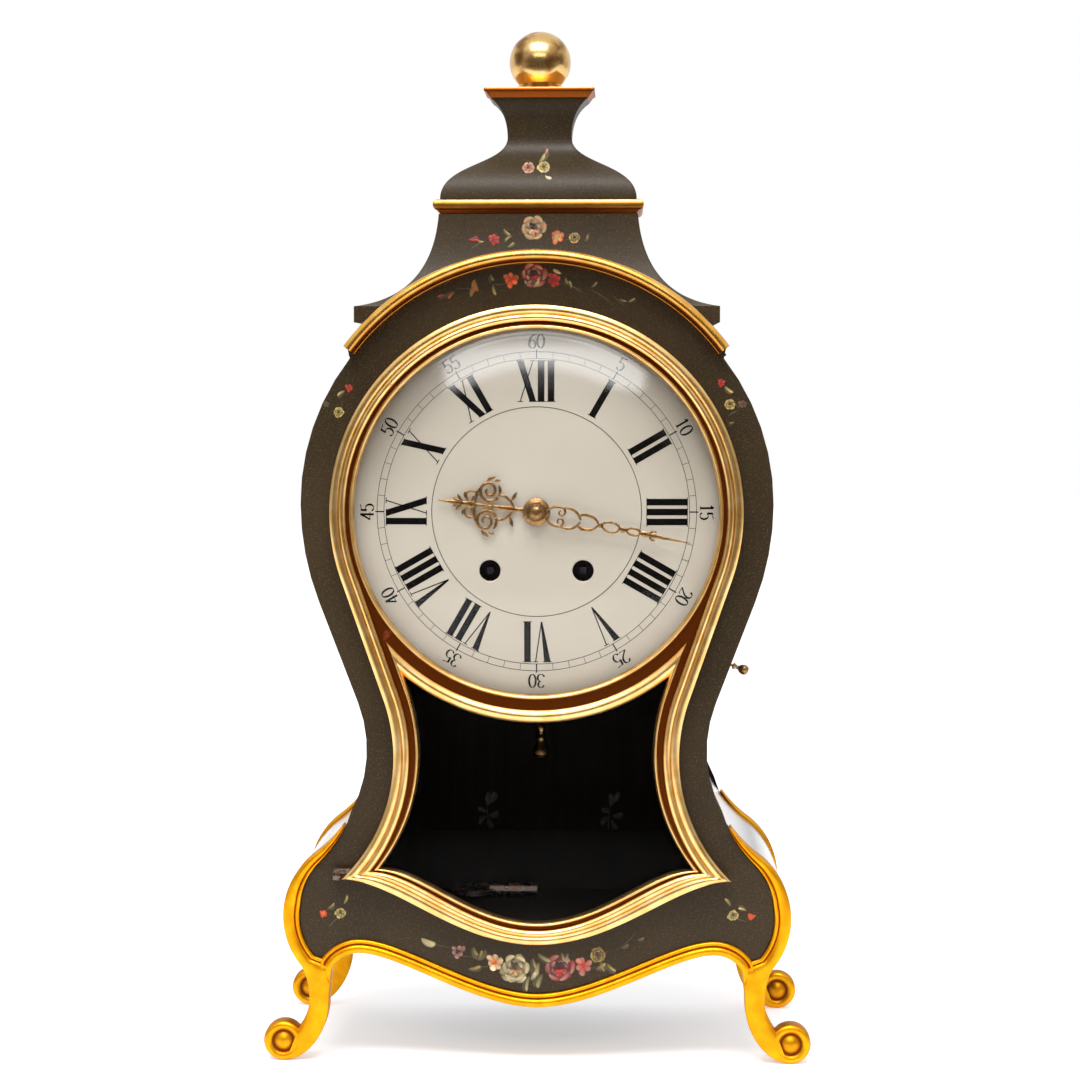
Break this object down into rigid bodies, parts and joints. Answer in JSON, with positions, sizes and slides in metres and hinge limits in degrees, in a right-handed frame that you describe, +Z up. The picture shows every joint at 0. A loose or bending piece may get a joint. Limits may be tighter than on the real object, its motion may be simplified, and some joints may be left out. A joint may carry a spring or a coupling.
{
  "type": "bracket clock",
  "caption": "Waisted bracket clock on gilt scroll feet, with a glazed front door, convex enamel dial, stepped crown, back door and two-train spring movement with short pendulum.",
  "frame": {"origin": "under the middle of the clock, on the surface that its feet stand on", "axes": "+Z up, the dial faces -Y, +X to the right of someone who looks at the dial"},
  "size_m": [0.2792, 0.15, 0.5281],
  "materials": {
    "lacquer": "dark lacquer, semi-gloss",
    "gilt": "gilded wood, worn to the red ground",
    "gilt_brass": "gilded",
    "bare_wood": "stained, unpolished",
    "dial_enamel": "cream enamel",
    "brass": "brushed",
    "steel": "bright",
    "spring_steel": "blued",
    "bronze": "dark, turned",
    "clear_glass": "clear"
  },
  "bodies": {
    "case": {"apron_moulding": "gilt", "arch_moulding": "gilt", "back_frame": "bare_wood", "bell": "bronze", "bottom_board": "bare_wood", "crown_base": "lacquer", "crown_bell": "lacquer", "crown_cap": "gilt", "crown_moulding": "gilt", "dial_plate": "dial_enamel", "door_hinge_pin_lower": "steel", "door_hinge_pin_upper": "steel", "finial_ball": "gilt", "foot_front_left": "gilt", "foot_front_right": "gilt", "foot_rear_left": "gilt", "foot_rear_right": "gilt", "front_board": "lacquer", "movement_back_plate": "brass", "movement_front_plate": "brass", "pendulum_cock": "brass", "roof_panel": "lacquer", "seat_board": "bare_wood", "side_panel_left": "lacquer", "side_panel_right": "lacquer", "winding_key": "bronze"},
    "front_door": {"door_frame": "gilt", "dial_glass": "clear_glass", "window_glass": "clear_glass", "door_hinge_eye_upper": "brass", "door_hinge_eye_lower": "brass"},
    "back_door": {"back_door_panel": "bare_wood", "back_door_pin_lower": "steel", "back_door_pin_upper": "steel"},
    "back_latch": {"back_door_latch": "brass"},
    "repeat_pull": {"repeat_pull": "brass"},
    "minute_hand": {"minute_hand": "gilt_brass", "hand_nut": "gilt_brass", "cannon_pinion": "steel"},
    "hour_hand": {"hour_hand": "gilt_brass", "hour_wheel": "brass"},
    "minute_wheel": {"minute_wheel": "brass"},
    "going_barrel": {"going_barrel": "brass", "going_mainspring": "spring_steel"},
    "going_winding": {"going_winding_arbor": "steel"},
    "going_click": {"going_click": "steel"},
    "intermediate_wheel": {"intermediate_wheel": "brass"},
    "center_wheel": {"center_wheel": "brass"},
    "third_wheel": {"third_wheel": "brass"},
    "escape_wheel": {"escape_wheel": "brass"},
    "pendulum": {"anchor": "steel", "pendulum_rod": "steel", "pendulum_bob": "bronze"},
    "strike_barrel": {"strike_barrel": "brass", "strike_mainspring": "spring_steel"},
    "strike_winding": {"strike_winding_arbor": "steel"},
    "strike_click": {"strike_click": "steel"},
    "pin_wheel": {"pin_wheel": "brass"},
    "fly": {"fly": "brass"},
    "hammer": {"hammer": "steel"}
  },
  "joints": [
    {"name": "front_door", "type": "hinge", "parent": "case", "child": "front_door", "pos_m": [-0.1014, -0.0616, 0.28072], "axis": [0, 0, -1], "range_deg": [0, 105]},
    {"name": "back_door", "type": "hinge", "parent": "case", "child": "back_door", "pos_m": [-0.0645, 0.062, 0.095], "axis": [0, 0, 1], "range_deg": [0, 100]},
    {"name": "back_latch", "type": "hinge", "parent": "back_door", "child": "back_latch", "pos_m": [0.0595, 0.062, 0.22001], "axis": [0, -1, 0], "range_deg": [0, 90]},
    {"name": "repeat_pull", "type": "slide", "parent": "case", "child": "repeat_pull", "axis": [0.9346, 0, -0.3558], "range_m": [0, 0.008], "stiffness_N_per_m": 150},
    {"name": "minute_hand", "type": "hinge", "parent": "case", "child": "minute_hand", "pos_m": [0, -0.058, 0.28072], "axis": [0, 1, 0], "continuous": true},
    {"name": "hour_hand", "type": "hinge", "parent": "case", "child": "hour_hand", "pos_m": [0, -0.058, 0.28072], "axis": [0, 1, 0], "continuous": true},
    {"name": "minute_wheel", "type": "hinge", "parent": "case", "child": "minute_wheel", "pos_m": [0, 0.0045, 0.26872], "axis": [0, 1, 0], "continuous": true},
    {"name": "third_wheel", "type": "hinge", "parent": "case", "child": "third_wheel", "pos_m": [0.0191, 0.0045, 0.28466], "axis": [0, 1, 0], "continuous": true},
    {"name": "center_wheel", "type": "hinge", "parent": "case", "child": "center_wheel", "pos_m": [0, 0.0045, 0.28072], "axis": [0, 1, 0], "continuous": true},
    {"name": "escape_wheel", "type": "hinge", "parent": "case", "child": "escape_wheel", "pos_m": [0.0145, 0.0045, 0.29956], "axis": [0, 1, 0], "continuous": true},
    {"name": "intermediate_wheel", "type": "hinge", "parent": "case", "child": "intermediate_wheel", "pos_m": [0.00158, 0.0045, 0.26079], "axis": [0, 1, 0], "continuous": true},
    {"name": "going_barrel", "type": "hinge", "parent": "case", "child": "going_barrel", "pos_m": [0.0235, 0.0045, 0.25102], "axis": [0, 1, 0], "continuous": true},
    {"name": "going_winding", "type": "hinge", "parent": "case", "child": "going_winding", "pos_m": [0.0235, 0.0045, 0.25102], "axis": [0, 1, 0], "continuous": true},
    {"name": "going_click", "type": "hinge", "parent": "case", "child": "going_click", "pos_m": [0.033, 0.0045, 0.25672], "axis": [0, 1, 0], "range_deg": [0, 10]},
    {"name": "pendulum", "type": "hinge", "parent": "case", "child": "pendulum", "pos_m": [0, 0.0045, 0.30632], "axis": [0, 1, 0], "range_deg": [-4, 4]},
    {"name": "pin_wheel", "type": "hinge", "parent": "case", "child": "pin_wheel", "pos_m": [-0.02756, 0.0045, 0.27407], "axis": [0, 1, 0], "continuous": true},
    {"name": "strike_barrel", "type": "hinge", "parent": "case", "child": "strike_barrel", "pos_m": [-0.0235, 0.0045, 0.25102], "axis": [0, 1, 0], "continuous": true},
    {"name": "fly", "type": "hinge", "parent": "case", "child": "fly", "pos_m": [-0.0247, 0.0045, 0.29032], "axis": [0, 1, 0], "continuous": true},
    {"name": "strike_winding", "type": "hinge", "parent": "case", "child": "strike_winding", "pos_m": [-0.0235, 0.0045, 0.25102], "axis": [0, 1, 0], "continuous": true},
    {"name": "strike_click", "type": "hinge", "parent": "case", "child": "strike_click", "pos_m": [-0.033, 0.0045, 0.25672], "axis": [0, -1, 0], "range_deg": [0, 10]},
    {"name": "hammer", "type": "hinge", "parent": "case", "child": "hammer", "pos_m": [-0.034, 0.0045, 0.29572], "axis": [0, -1, 0], "range_deg": [0, 12]}
  ],
  "couplings": [
    {"joint": "center_wheel", "follows": "third_wheel", "ratio": -0.083333},
    {"joint": "escape_wheel", "follows": "third_wheel", "ratio": -12},
    {"joint": "intermediate_wheel", "follows": "third_wheel", "ratio": 0.011905},
    {"joint": "going_barrel", "follows": "third_wheel", "ratio": -0.0017007},
    {"joint": "minute_wheel", "follows": "minute_hand", "ratio": -0.33333},
    {"joint": "hour_hand", "follows": "minute_hand", "ratio": 0.083333},
    {"joint": "strike_barrel", "follows": "pin_wheel", "ratio": -0.11429},
    {"joint": "fly", "follows": "pin_wheel", "ratio": -10}
  ]
}
